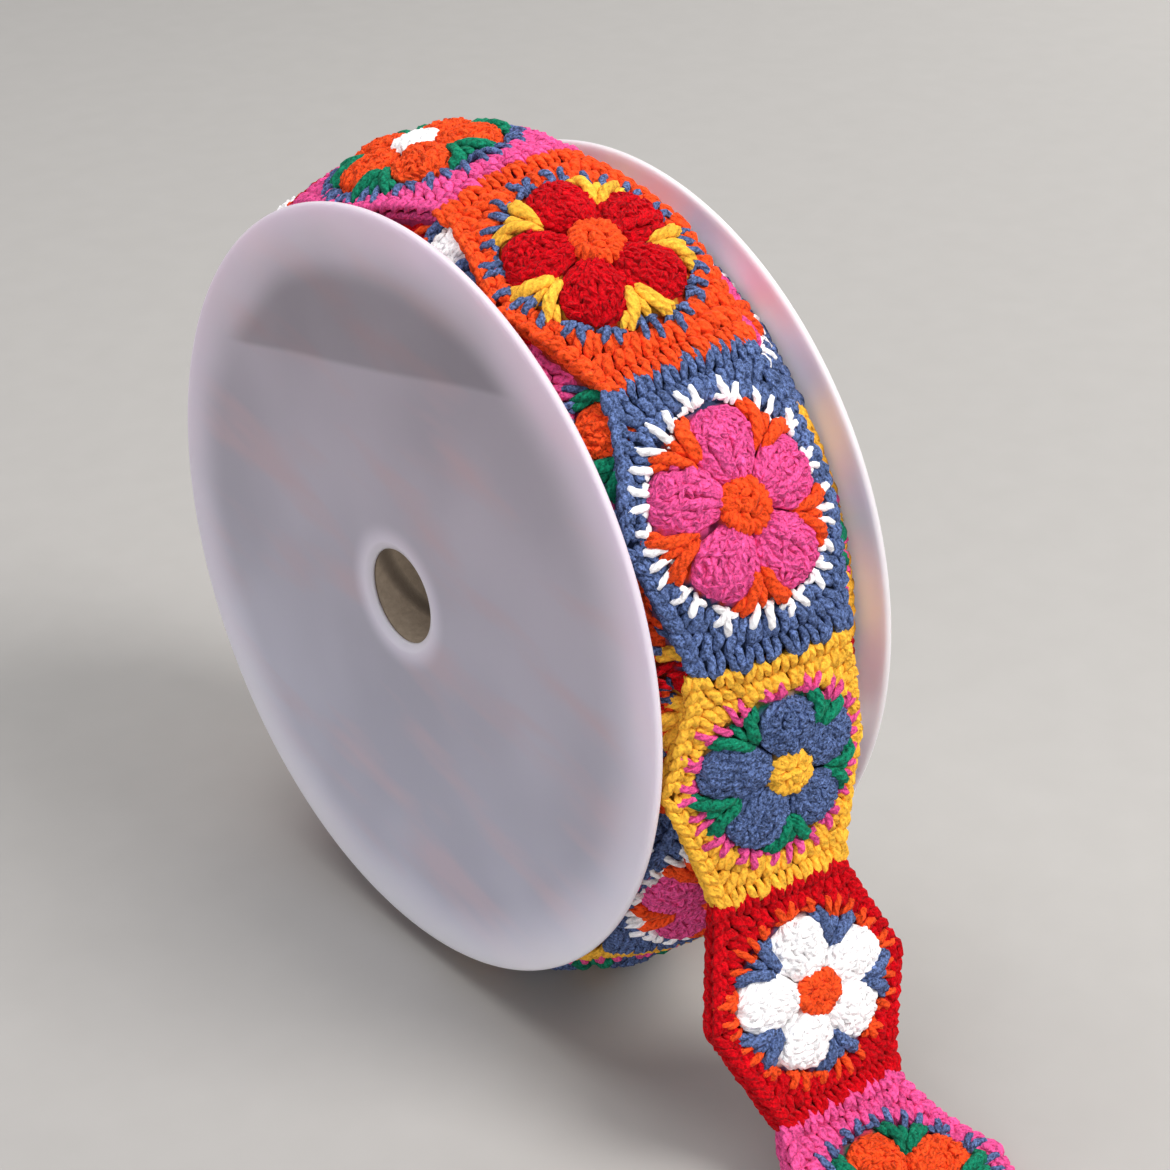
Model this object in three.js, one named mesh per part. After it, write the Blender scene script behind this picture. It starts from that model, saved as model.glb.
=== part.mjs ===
import * as THREE from 'three';

// A 200 mm spool of crochet trim: two thin plastic flanges on a board tube, wound with a band of
// joined hexagon motifs, whose loose end hangs from the front and runs out onto the surface.
// Millimetres. X runs along the spool's axis, the loose end leaves towards -Y, and +Z is up.
// All the pieces are worked out around the axis, and the whole is then set down on the surface.

// Driving dimensions of the spool
const flangeRadius = 100;
const flangeThickness = 2;
const spoolWidth = 73.5;
const spindleRadius = 12.5;
const coreWall = 3;
const clearance = 0.3;
const flangeSegments = 72;
const coreSegments = 48;

// Driving dimensions of the band
const motifAngle = 37.6;
const bandCentre = -6.5;
const sheetThickness = 4;
const petalHeight = 2.2;
const eyeHeight = 1.6;
const edgeRounding = 1.2;
const edgeWidth = 2.5;

// How far the band reaches from its centre towards the near and the far flange
const woundJoin = { near: 18, far: 21 };
const stepJoin = { near: 19.5, far: 22.5 };
const woundVertex = { near: 27, far: 27 };
const looseJoin = { near: 19, far: 17.5 };
const looseVertex = { near: 29.5, far: 29 };

// Driving dimensions of the wound form, measured from the axis
const axisHeight = 106;
const outerRadius = 108;
const outerDrop = 0.0092;
const outerCrownAt = 3.2;
const lowerRadius = 103.2;
const lowerDrop = 0.0116;
const turnStep = 4.6;
const stepAngle = 10.9;
const wallAngle = 0.3;
const tuckStart = 10;
const tuckLength = 60;
const flowerTuckStart = 14;
const flowerTuckLength = 20;

// The flower: five petals around an eye
const petalCount = 5;
const petalReach = 13.5;
const petalLong = 9;
const petalWide = 7.5;
const eyeRadius = 6;

// Mesh divisions of the band
const stepsPerMotif = 16;
const columns = 17;

// The loose end's middle line, forward of the axis and above it, from the roll to the surface
const looseRoute = [
  { forward: 106.0, height: 0 },
  { forward: 107.6, height: -20 },
  { forward: 111.5, height: -40 },
  { forward: 121.5, height: -63 },
  { forward: 132.0, height: -87 },
  { forward: 145.0, height: -99.5 },
  { forward: 163.0, height: -104 },
  { forward: 176.0, height: -104 },
  { forward: 189.0, height: -104 },
];
const looseMotifs = 3;
const looseStartAngle = 10.3;
const looseMiddleRadius = outerRadius - sheetThickness / 2;
const crownFades = 130;

const innerFace = spoolWidth / 2 - flangeThickness;
const coreRadius = spindleRadius + coreWall;
const rollBore = coreRadius + clearance;
const rollHalfWidth = innerFace - clearance;

const radians = THREE.MathUtils.degToRad;
const smooth = (value) => THREE.MathUtils.smoothstep(value, 0, 1);

// Faces between neighbouring rows of points. Each row is one loop around a section.
function loftGeometry(rows, closesOnItself) {
  const around = rows[0].length;
  const positions = rows.flat(2);
  const index = [];
  const rowCount = closesOnItself ? rows.length : rows.length - 1;
  for (let i = 0; i < rowCount; i++) {
    const here = i * around;
    const next = ((i + 1) % rows.length) * around;
    for (let j = 0; j < around; j++) {
      const k = (j + 1) % around;
      index.push(here + j, here + k, next + k, here + j, next + k, next + j);
    }
  }
  if (!closesOnItself) {
    const last = (rows.length - 1) * around;
    for (let j = 0; j < around / 2 - 1; j++) {
      const a = j;
      const b = j + 1;
      const c = around - 2 - j;
      const d = around - 1 - j;
      index.push(a, c, b, a, d, c);
      index.push(last + a, last + b, last + c, last + a, last + c, last + d);
    }
  }
  const geometry = new THREE.BufferGeometry();
  geometry.setAttribute('position', new THREE.Float32BufferAttribute(positions, 3));
  geometry.setIndex(index);
  geometry.computeVertexNormals();
  return geometry;
}

// A ring around the X axis from a closed profile of radius and place along the axis
function ringGeometry(profile, segments) {
  const loop = [...profile, profile[0]].map(([radius, along]) => new THREE.Vector2(radius, along));
  const geometry = new THREE.LatheGeometry(loop, segments);
  geometry.rotateZ(-Math.PI / 2);
  return geometry;
}

function flangeGeometry() {
  const soft = flangeThickness / 4;
  return ringGeometry([
    [spindleRadius, 0],
    [flangeRadius - soft, 0],
    [flangeRadius, soft],
    [flangeRadius, flangeThickness - soft],
    [flangeRadius - soft, flangeThickness],
    [spindleRadius, flangeThickness],
  ], flangeSegments);
}

function coreGeometry() {
  const half = innerFace - clearance;
  return ringGeometry([
    [spindleRadius, -half],
    [coreRadius, -half],
    [coreRadius, half],
    [spindleRadius, half],
  ], coreSegments);
}

// The band's edges across, from a join at 0 over the side vertices at 0.5 to the next join at 1
function bandEdges(alongMotif, join, vertex) {
  const joinShare = Math.abs(2 * alongMotif - 1);
  const near = bandCentre - THREE.MathUtils.lerp(vertex.near, join.near, joinShare);
  const far = bandCentre + THREE.MathUtils.lerp(vertex.far, join.far, joinShare);
  return { near, far, half: (far - near) / 2 };
}

// Height of the flower over the ground stitches, across and along from the flower's middle
function flowerHeight(across, along) {
  const distance = Math.hypot(across, along);
  const angle = Math.atan2(across, along);
  let height = eyeHeight * Math.sqrt(Math.max(0, 1 - (distance / eyeRadius) ** 2));
  for (let petal = 0; petal < petalCount; petal++) {
    const turn = angle - (2 * Math.PI * petal) / petalCount;
    const out = (distance * Math.cos(turn) - petalReach) / petalLong;
    const aside = (distance * Math.sin(turn)) / petalWide;
    const inside = Math.max(0, 1 - out * out - aside * aside);
    height = Math.max(height, petalHeight * Math.sqrt(inside));
  }
  return height;
}

// How far the ground stitches turn down at the band's edge
function edgeDrop(share, half) {
  const fromEdge = (1 - Math.abs(share)) * half;
  return edgeRounding * (1 - smooth(fromEdge / edgeWidth));
}

// One section of the wound form, at an angle counted upwards over the roll from the step
function woundSection(turned) {
  const left = 360 - turned;
  const tuck = turnStep * (1 - smooth((left - tuckStart) / tuckLength));
  const flowerShare = smooth((left - flowerTuckStart) / flowerTuckLength);
  const alongMotif = (turned / motifAngle) % 1;
  const join = turned < motifAngle / 2 ? stepJoin : woundJoin;
  const edges = bandEdges(alongMotif, join, woundVertex);
  const along = (alongMotif - 0.5) * radians(motifAngle) * outerRadius;
  const lower = (x) => lowerRadius - tuck - lowerDrop * x * x;
  const outer = (x) => outerRadius - tuck - outerDrop * (x - outerCrownAt) ** 2;
  const section = [[-rollHalfWidth, rollBore], [-rollHalfWidth, lower(-rollHalfWidth)]];
  section.push([edges.near, lower(edges.near)]);
  for (let column = 0; column < columns; column++) {
    const share = (2 * column) / (columns - 1) - 1;
    const x = THREE.MathUtils.lerp(edges.near, edges.far, (share + 1) / 2);
    const flower = flowerShare * flowerHeight(x - bandCentre, along);
    section.push([x, outer(x) - edgeDrop(share, edges.half) + flower]);
  }
  for (const share of [0, 0.5, 1]) {
    const x = THREE.MathUtils.lerp(edges.far, rollHalfWidth, share);
    section.push([x, lower(x)]);
  }
  section.push([rollHalfWidth, rollBore]);
  const angle = radians(stepAngle + turned);
  return section.map(([x, radius]) => {
    const height = Math.max(radius * Math.sin(angle), -axisHeight);
    return [x, -radius * Math.cos(angle), height];
  });
}

function woundGeometry() {
  const stepTurn = motifAngle / stepsPerMotif;
  const rows = [];
  for (let turned = 0; turned < 360 - wallAngle - stepTurn / 2; turned += stepTurn) {
    rows.push(woundSection(turned));
  }
  rows.push(woundSection(360 - wallAngle));
  return loftGeometry(rows, true);
}

// The loose end's middle line as a curve in the plane across the spool's axis
function looseCurve() {
  const start = radians(looseStartAngle);
  const points = [1, 0.5].map((share) => new THREE.Vector2(
    looseMiddleRadius * Math.cos(start * share),
    looseMiddleRadius * Math.sin(start * share),
  ));
  for (const { forward, height } of looseRoute) {
    points.push(new THREE.Vector2(forward, height));
  }
  return new THREE.SplineCurve(points);
}

function looseGeometry() {
  const curve = looseCurve();
  const length = curve.getLength();
  const motifLength = length / looseMotifs;
  const steps = looseMotifs * stepsPerMotif;
  const rows = [];
  for (let step = 0; step <= steps; step++) {
    const middle = curve.getPointAt(step / steps);
    const tangent = curve.getTangentAt(step / steps);
    const alongMotif = (step / stepsPerMotif) % 1;
    const join = step < stepsPerMotif / 2 ? stepJoin : looseJoin;
    const vertex = step < stepsPerMotif ? woundVertex : looseVertex;
    const edges = bandEdges(alongMotif, join, vertex);
    const along = (0.5 - alongMotif) * motifLength;
    const drop = outerDrop * (1 - smooth((step * length) / steps / crownFades));
    const place = (x, offset) => {
      const out = offset - drop * (x - outerCrownAt) ** 2;
      const forward = middle.x - tangent.y * out;
      const height = Math.max(middle.y + tangent.x * out, -axisHeight);
      return [x, -forward, height];
    };
    const face = [];
    const back = [];
    for (let column = 0; column < columns; column++) {
      const share = (2 * column) / (columns - 1) - 1;
      const x = THREE.MathUtils.lerp(edges.near, edges.far, (share + 1) / 2);
      const rounding = edgeDrop(share, edges.half);
      const flower = flowerHeight(x - bandCentre, along);
      face.push(place(x, sheetThickness / 2 - rounding + flower));
      back.push(place(x, -sheetThickness / 2));
    }
    rows.push([...face, ...back.reverse()]);
  }
  return loftGeometry(rows.reverse(), false);
}

function addPiece(group, name, geometry, color, roughness) {
  const material = new THREE.MeshStandardMaterial({ color, roughness, metalness: 0 });
  const mesh = new THREE.Mesh(geometry, material);
  mesh.name = name;
  group.add(mesh);
  return mesh;
}

const spool = new THREE.Group();
const near = addPiece(spool, 'flange_near', flangeGeometry(), '#c9c6d2', 0.35);
const far = addPiece(spool, 'flange_far', flangeGeometry(), '#dccfd0', 0.35);
addPiece(spool, 'core_tube', coreGeometry(), '#7b6650', 0.85);
addPiece(spool, 'wound_roll', woundGeometry(), '#e2552b', 0.9);
addPiece(spool, 'loose_end', looseGeometry(), '#b3202f', 0.9);
near.position.x = -spoolWidth / 2;
far.position.x = innerFace;

// The origin is under the middle of the whole, on the surface that it stands on
const extent = new THREE.Box3().setFromObject(spool);
const middle = extent.getCenter(new THREE.Vector3());
spool.position.set(-middle.x, -middle.y, axisHeight);

export default spool;
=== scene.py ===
import bpy
import math
import numpy as np
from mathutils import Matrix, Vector


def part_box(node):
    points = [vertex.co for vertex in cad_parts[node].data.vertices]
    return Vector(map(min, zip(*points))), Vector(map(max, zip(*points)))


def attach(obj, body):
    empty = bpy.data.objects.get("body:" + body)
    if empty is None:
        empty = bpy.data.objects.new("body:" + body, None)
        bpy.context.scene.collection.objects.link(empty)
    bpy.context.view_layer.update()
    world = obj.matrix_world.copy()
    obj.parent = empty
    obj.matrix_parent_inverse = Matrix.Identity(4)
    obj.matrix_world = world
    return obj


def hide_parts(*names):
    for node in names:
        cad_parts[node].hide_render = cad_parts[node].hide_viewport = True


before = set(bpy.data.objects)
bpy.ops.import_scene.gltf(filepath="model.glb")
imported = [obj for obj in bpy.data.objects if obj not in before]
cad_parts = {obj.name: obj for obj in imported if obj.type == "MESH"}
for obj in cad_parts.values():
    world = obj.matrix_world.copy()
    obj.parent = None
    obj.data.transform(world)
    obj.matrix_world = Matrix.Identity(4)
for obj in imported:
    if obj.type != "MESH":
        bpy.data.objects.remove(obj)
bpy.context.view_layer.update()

# The frame's own places, in millimetres, from which everything else is worked out
MM = 0.001
near_low, near_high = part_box("flange_near")
far_low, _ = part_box("flange_far")
core_low, core_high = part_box("core_tube")
AXIS_Y = (near_low.y + near_high.y) / 2 / MM
AXIS_Z = (near_low.z + near_high.z) / 2 / MM
FLANGE_RADIUS = (near_high.z - near_low.z) / 2 / MM
FLANGE_THICKNESS = (near_high.x - near_low.x) / MM
NEAR_INNER_FACE = near_high.x / MM
FAR_INNER_FACE = far_low.x / MM
SPINDLE_RADIUS = 12.5
CORE_RADIUS = (core_high.z - core_low.z) / 2 / MM
CORE_HALF = core_high.x / MM
ROLL_HALF = FAR_INNER_FACE - 0.3
ROLL_BORE = CORE_RADIUS + 0.3

# The band as in the part's source. Joins and vertices are its reach to the near and the far side.
MOTIF_ANGLE = 37.6
BAND_CENTRE = -6.5
WOUND_JOIN = (18.0, 21.0)
STEP_JOIN = (19.5, 22.5)
WOUND_VERTEX = (27.0, 27.0)
LOOSE_JOIN = (19.0, 17.5)
LOOSE_VERTEX = (29.5, 29.0)
SHEET_THICKNESS = 4.0
OUTER_RADIUS, OUTER_DROP, OUTER_CROWN_AT = 108.0, 0.0092, 3.2
LOWER_RADIUS, LOWER_DROP = 103.2, 0.0116
TURN_STEP, STEP_ANGLE = 4.6, 10.9
TUCK_START, TUCK_LENGTH = 10.0, 60.0
FLATTENED_START, FLATTENED_LENGTH = 14.0, 20.0
LANE_CLEAR = 33.4
STITCH_SINK = 1.8
# The loose end's middle line, as places forward of the axis and above it
LOOSE_ROUTE = [
    (106.0, 0.0), (107.6, -20.0), (111.5, -40.0), (121.5, -63.0), (132.0, -87.0),
    (145.0, -99.5), (163.0, -104.0), (176.0, -104.0), (189.0, -104.0),
]
LOOSE_MOTIFS = 3
LOOSE_JOINS = [0.0, 0.333, 0.649, 1.0]
FIRST_FLOWER_SHIFT = 2.3
LOOSE_START_ANGLE = 10.3
CROWN_FADES = 130.0

# One motif laid out flat: a hexagon with a joined side at each end and a vertex at each edge
JOIN_HALF, VERTEX_HALF, MOTIF_HALF_LENGTH = 20.0, 28.0, 33.0
ROUND_ACROSS, ROUND_ALONG = 23.6, 25.4
PETALS = 5
PETAL_TURN = math.pi / 2
PETAL_INNER, PETAL_OUTER, PETAL_HALF_WIDTH = 4.2, 21.3, 7.3
PETAL_BASE, PETAL_RISE = 0.8, 3.2
PETAL_CREASE = 1.2
EYE_RADIUS = 6.1

# Yarn colours as they look in daylight
YARNS = {
    "crimson": "#CA0816",
    "orange": "#F75222",
    "pink": "#EE5698",
    "denim": "#586B98",
    "yellow": "#F6B83E",
    "green": "#167C5C",
    "white": "#F8F6F6",
}
COLOURWAYS = {
    "pink": {"petal": "pink", "eye": "orange", "leaf": "orange", "round": "white", "border": "denim"},
    "crimson": {"petal": "crimson", "eye": "orange", "leaf": "yellow", "round": "denim", "border": "orange"},
    "orange": {"petal": "orange", "eye": "white", "leaf": "green", "round": "denim", "border": "pink"},
    "white": {"petal": "white", "eye": "orange", "leaf": "denim", "round": "orange", "border": "crimson"},
    "denim": {"petal": "denim", "eye": "yellow", "leaf": "green", "round": "pink", "border": "yellow"},
}
# The order of the motifs, going up the roll from the one that the loose end leaves
BAND_ORDER = ["pink", "crimson", "orange", "white", "denim"]
WINDING = BAND_ORDER + ["orange", "white", "denim", "pink", "crimson"]


def linear(hex_colour):
    """Linear RGB of a daylight colour."""
    parts = [int(hex_colour[i : i + 2], 16) / 255 for i in (1, 3, 5)]
    return np.array([c / 12.92 if c <= 0.04045 else ((c + 0.055) / 1.055) ** 2.4 for c in parts])


YARN_RGB = {name: linear(value) for name, value in YARNS.items()}


def smooth(value):
    """Soft step from 0 at 0 to 1 at 1."""
    t = np.clip(value, 0.0, 1.0)
    return t * t * (3 - 2 * t)


def add_object(name, data):
    """A new object in the scene for a mesh, a camera or a light."""
    made = bpy.data.objects.new(name, data)
    bpy.context.collection.objects.link(made)
    return made


def aim(made, place, direction):
    """Sets a camera or light at a place, looking along a direction."""
    made.location = place
    made.rotation_mode = "QUATERNION"
    made.rotation_quaternion = direction.to_track_quat("-Z", "Y")


# Camera, at the photograph's viewing angle

CAMERA_PLACE = Vector((-0.34443, AXIS_Y * MM - 0.45393, AXIS_Z * MM + 0.30460))
CAMERA_LOOK = Vector((0.55156, 0.68042, -0.48251))
CAMERA_LENS = 77.1


def add_camera():
    data = bpy.data.cameras.new("photo_camera")
    data.lens = CAMERA_LENS
    data.sensor_width = 36.0
    data.clip_start, data.clip_end = 0.01, 20.0
    camera = add_object("photo_camera", data)
    aim(camera, CAMERA_PLACE, CAMERA_LOOK)
    bpy.context.scene.camera = camera


# Shader maths: a socket wrapped so that expressions add Math nodes


def operator(operation):
    """A method that adds a Math node for a value and what it is given."""
    return lambda value, *others: value.math(operation, value, *others)


def reflected(operation):
    """The same for an operator that has the value on its right."""
    return lambda value, other: value.math(operation, other, value)


class Value:
    """A number that a socket gives."""

    def __init__(self, shader, socket):
        self.shader, self.socket = shader, socket

    def math(self, operation, *operands):
        node = self.shader.node("ShaderNodeMath", {"operation": operation}, dict(enumerate(operands)))
        return Value(self.shader, node.outputs[0])

    __add__, __radd__ = operator("ADD"), reflected("ADD")
    __sub__, __rsub__ = operator("SUBTRACT"), reflected("SUBTRACT")
    __mul__, __rmul__ = operator("MULTIPLY"), reflected("MULTIPLY")
    __truediv__ = operator("DIVIDE")
    sine, root = operator("SINE"), operator("SQRT")
    angle_from = operator("ARCTAN2")
    at_least, at_most = operator("MAXIMUM"), operator("MINIMUM")

    def step(self, low, high):
        """Soft step from 0 at low to 1 at high."""
        node = self.shader.node(
            "ShaderNodeMapRange", {"interpolation_type": "SMOOTHSTEP"}, {0: self, 1: low, 2: high}
        )
        return Value(self.shader, node.outputs[0])


def add_node(tree, kind, settings=None, sockets=None):
    """A node of any type, with its settings and with a number or a link for each socket named."""
    made = tree.nodes.new(kind)
    for name, value in (settings or {}).items():
        setattr(made, name, value)
    for key, value in (sockets or {}).items():
        value = value.socket if isinstance(value, Value) else value
        if isinstance(value, bpy.types.NodeSocket):
            tree.links.new(value, made.inputs[key])
        else:
            made.inputs[key].default_value = value
    return made


class Shader:
    """One material's node tree, with one method that adds any node."""

    def __init__(self, name):
        self.material = bpy.data.materials.new(name)
        self.material.use_nodes = True
        self.tree = self.material.node_tree
        self.tree.nodes.clear()
        self.output = self.node("ShaderNodeOutputMaterial")

    def node(self, kind, settings=None, sockets=None):
        return add_node(self.tree, kind, settings, sockets)

    def attribute(self, name, output):
        return self.node("ShaderNodeAttribute", {"attribute_name": name}).outputs[output]

    def place(self):
        return self.node("ShaderNodeTexCoord").outputs["Object"]

    def split(self, vector):
        """The three numbers of a place."""
        parts = self.node("ShaderNodeSeparateXYZ", None, {0: vector})
        return [Value(self, output) for output in parts.outputs]

    def join(self, x, y, z):
        return self.node("ShaderNodeCombineXYZ", None, {0: x, 1: y, 2: z}).outputs[0]

    def noise(self, scale, detail=3.0, roughness=0.55, place=None):
        node = self.node(
            "ShaderNodeTexNoise", None,
            {"Vector": place or self.place(), "Scale": scale, "Detail": detail, "Roughness": roughness},
        )
        return Value(self, node.outputs["Fac"])

    def mix(self, share, first, second, blend="MIX"):
        settings = {"data_type": "RGBA", "blend_type": blend}
        return self.node("ShaderNodeMix", settings, {0: share, 6: first, 7: second}).outputs[2]

    def shaded(self, colour, shade):
        """A colour made darker or lighter by a number."""
        level = self.node("ShaderNodeCombineColor", None, {0: shade, 1: shade, 2: shade}).outputs[0]
        return self.mix(1.0, colour, level, "MULTIPLY")

    def bump(self, height, strength, distance):
        sockets = {"Height": height, "Strength": strength, "Distance": distance}
        return self.node("ShaderNodeBump", None, sockets).outputs["Normal"]

    def principled(self, sockets):
        node = self.node("ShaderNodeBsdfPrincipled", None, sockets)
        self.tree.links.new(node.outputs[0], self.output.inputs["Surface"])
        return self.material


def yarn_material():
    """Soft matte cotton, twisted from three plies, with flecks lighter and darker than its dye and painted
    shade and light along the plies.
    """
    shader = Shader("twisted_cotton_yarn")
    turn_x, turn_y, along = shader.split(shader.attribute("yarn_twist", "Vector"))
    plies = (turn_y.angle_from(turn_x) * 3.0 + along * 2.6).sine()
    colour = shader.attribute("yarn_colour_and_ground_shade", "Color")
    redness, paleness, blueness = shader.split(colour)
    heather = (blueness - redness).at_least(0.0)
    fleck = shader.noise(1600.0, 3.0, 0.65)
    patch = shader.noise(420.0, 2.0, 0.5)
    contrast = 2.5 - paleness * 1.9 + heather * 14.0
    # The plies term paints shade into the grooves between the plies and light on their crests.
    shade = 1.1 + (fleck - 0.5) * contrast + (patch - 0.5) * 0.5 + plies * 0.09
    relief = (fleck + plies * 0.35) * (1.0 - paleness * 0.75)
    return shader.principled({
        "Base Color": shader.shaded(colour, shade.at_least(0.36)),
        "Roughness": 0.92,
        "Normal": shader.bump(relief, 0.9, 0.0009),
        "Sheen Weight": 0.03,
        "Sheen Roughness": 0.5,
        "Specular IOR Level": 0.04,
    })


def ground_material():
    """The crochet's ground between its stitches, in deep shade."""
    shader = Shader("crochet_ground")
    fleck = shader.noise(900.0, 4.0, 0.65)
    lumps = shader.noise(300.0, 2.0, 0.5)
    shade = 0.3 + fleck * 0.8 + lumps * 0.4
    return shader.principled({
        "Base Color": shader.shaded(shader.attribute("yarn_colour_and_ground_shade", "Color"), shade),
        "Roughness": 0.92,
        "Normal": shader.bump(fleck + lumps, 0.9, 0.0012),
        "Specular IOR Level": 0.08,
    })


# Flange tones in millimetres from the axis, with painted light and shade. The chord is the straight line high
# on the near flange: above it, within the roll's radius, the flange gets painted shade from the roll behind
# it.
ROLL_SHADOW_RADIUS = 86.0
# The halo is painted light: a pale ring round the hole.
HALO_RADIUS = 20.5
CHORD_SLOPE = -0.213
CHORD_LOW, CHORD_HIGH = 60.2, 62.4
NEAR_TONES = {
    "pale": (0.62, 0.57, 0.68, 1.0), "middling": (0.40, 0.375, 0.45, 1.0),
    "deep": (0.33, 0.31, 0.375, 1.0), "blush": (0.42, 0.33, 0.38, 1.0),
    "top_light_tint": (1.02, 0.955, 0.915, 1.0), "low_light_tint": (1.04, 1.09, 1.075, 1.0),
    "chord_shade_depth": 0.36, "rim_from": ROLL_SHADOW_RADIUS - 7.0, "low_light_gain": 0.17,
}
# On the far flange the middling and deep tones are painted light, lighter than its rim, against the shade
# near the roll.
FAR_TONES = {
    "pale": (0.58, 0.525, 0.535, 1.0), "middling": (0.79, 0.75, 0.75, 1.0),
    "deep": (0.76, 0.72, 0.73, 1.0), "blush": (0.79, 0.71, 0.69, 1.0),
    "top_light_tint": (0.99, 1.0, 1.03, 1.0), "low_light_tint": (0.98, 1.06, 1.07, 1.0),
    "chord_shade_depth": 0.0, "rim_from": ROLL_SHADOW_RADIUS + 4.0, "low_light_gain": 0.05,
}


def flange_material(name, tones):
    """Milky plastic whose tone carries painted light and shade: where the roll lies against it, at the rim,
    round the hole and with height.
    """
    shader = Shader(name)
    place = shader.place()
    across, forward, up = shader.split(place)
    forward = (AXIS_Y * MM - forward) / MM
    up = (up - AXIS_Z * MM) / MM
    reach = (forward * forward + up * up).root()
    cloud = shader.noise(16.0, 2.0, 0.5, place)
    streak_place = shader.join((forward - up * 0.16) * 0.014, (up + forward * 0.16) * 0.055, across)
    streak = shader.noise(1.0, 3.0, 0.5, streak_place)
    grain = shader.noise(800.0, 2.0, 0.5, place)
    edge = reach + (cloud - 0.5) * 9.0
    rim = edge.step(tones["rim_from"], FLANGE_RADIUS - 1.0)
    halo = reach.step(HALO_RADIUS, SPINDLE_RADIUS + 1.0)
    chord = (up + forward * CHORD_SLOPE + (cloud - 0.5) * 3.0).step(CHORD_LOW, CHORD_HIGH)
    # Painted shade: darker above the chord and inside the roll's radius, from the roll behind the flange.
    roll_shadow = chord * edge.step(ROLL_SHADOW_RADIUS + 3.0, ROLL_SHADOW_RADIUS - 6.0)
    milky_tone_and_painted_light = shader.mix(cloud.step(0.33, 0.68), tones["deep"], tones["middling"])
    milky_tone_and_painted_light = shader.mix(((streak - 0.49).at_least(0.0) * 5.5).at_most(0.8), milky_tone_and_painted_light, tones["blush"])
    # The rim and the ring round the hole take the pale tone; on the near flange this is painted light.
    milky_tone_and_painted_light = shader.mix((rim * 0.85 + halo * 0.85).at_most(1.0), milky_tone_and_painted_light, tones["pale"])
    # Painted light with height: the top is tinted warm, the bottom cool and painted lighter.
    tint = shader.mix(up.step(-70.0, 85.0), tones["low_light_tint"], tones["top_light_tint"])
    milky_tone_and_painted_light = shader.mix(1.0, milky_tone_and_painted_light, tint, "MULTIPLY")
    low = up.step(-5.0, -85.0)
    level = 1.17 - roll_shadow * tones["chord_shade_depth"] + low * tones["low_light_gain"]
    return shader.principled({
        "Base Color": shader.shaded(milky_tone_and_painted_light, level),
        "Roughness": 0.36 + grain * 0.08,
        "Normal": shader.bump(cloud + grain * 0.02, 0.05, 0.004),
        "Subsurface Weight": 1.0,
        "Subsurface Radius": (1.0, 0.92, 1.0),
        "Subsurface Scale": 0.0045,
        "IOR": 1.49,
    })


def board_material():
    """Brown board, wound in a spiral strip."""
    shader = Shader("wound_brown_board")
    place = shader.place()
    along, aside, up = shader.split(place)
    angle = (up - AXIS_Z * MM).angle_from(aside - AXIS_Y * MM)
    seam = ((angle + along * 160.0).sine() * 8.0 - 7.2).at_least(0.0)
    fibre = shader.noise(500.0, 5.0, 0.7, place)
    base = shader.mix(fibre, (0.18, 0.135, 0.09, 1.0), (0.42, 0.33, 0.24, 1.0))
    return shader.principled({
        "Base Color": shader.mix(seam, base, (0.09, 0.065, 0.045, 1.0)),
        "Roughness": 0.9,
        "Normal": shader.bump(fibre - seam * 0.6, 0.5, 0.0006),
    })


def floor_material():
    shader = Shader("pale_floor")
    grain = shader.noise(60.0, 3.0, 0.5)
    base = shader.mix(grain, (0.40, 0.385, 0.365, 1.0), (0.43, 0.415, 0.395, 1.0))
    return shader.principled({"Base Color": base, "Roughness": 0.85})


# How the band lies: each lay turns a flat place on a motif into a place in the room


def reaches(share, join, vertex):
    """The band's reach to the near and to the far side, from a join at 0 over 0.5 to a join at 1."""
    to_join = np.minimum(np.abs(2 * share - 1), 1.0)
    return [at_vertex + (at_join - at_vertex) * to_join for at_join, at_vertex in zip(join, vertex)]


def flat_half(share):
    """Half the flat hexagon's width at a share of its length."""
    return reaches(share, [JOIN_HALF], [VERTEX_HALF])[0]


def spread(across, share, join, vertex):
    """A flat place across, stretched from the flat hexagon to the band's real edges."""
    near, far = reaches(share, join, vertex)
    return across * np.where(across < 0, near, far) / flat_half(share)


def motif_across(flat, share, index, join, vertex):
    """Flat places across, stretched, with the wider join on the half motif next to the step."""
    across = spread(flat[:, 0], share, join, vertex)
    if index == 0:
        at_step = spread(flat[:, 0], share, STEP_JOIN, vertex)
        across = np.where(share < 0.5, at_step, across)
    return across


def tuck(turned):
    """How far the outermost turn lies lower where it runs in under the loose end."""
    return TURN_STEP * (1 - smooth((360 - turned - TUCK_START) / TUCK_LENGTH))


class WoundLay:
    """A lane around the roll: its middle line, its round profile and its first motif's start."""

    def __init__(self, centre, radius, drop, crown, first=0.0, motif_angle=MOTIF_ANGLE, relief=1.0):
        self.centre, self.radius, self.drop, self.crown = centre, radius, drop, crown
        self.first, self.motif_angle, self.relief = first, motif_angle, relief

    def place(self, across, turned, lift):
        """A place from millimetres across, degrees up from the step, and lift over the ground."""
        puff = smooth((360 - turned - FLATTENED_START) / FLATTENED_LENGTH)
        lift = np.minimum(lift, STITCH_SINK + np.maximum(lift - STITCH_SINK, 0.0) * puff) * self.relief
        slope = -2 * self.drop * (across - self.crown)
        lean = np.sqrt(1 + slope * slope)
        base = self.radius - tuck(turned) - STITCH_SINK - self.drop * (across - self.crown) ** 2
        radius = base + lift / lean
        x = np.clip(across - lift * slope / lean, -LANE_CLEAR, LANE_CLEAR)
        angle = np.radians(STEP_ANGLE + turned)
        return np.stack([x, AXIS_Y - radius * np.cos(angle), AXIS_Z + radius * np.sin(angle)], -1)

    def motif(self, index, flat):
        """Places on motif number index from flat places: across, along and lift."""
        share = flat[:, 1] / (2 * MOTIF_HALF_LENGTH) + 0.5
        across = motif_across(flat, share, index, WOUND_JOIN, WOUND_VERTEX)
        turned = self.first + (index + share) * self.motif_angle
        return self.place(self.centre + across, turned, flat[:, 2])


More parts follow.
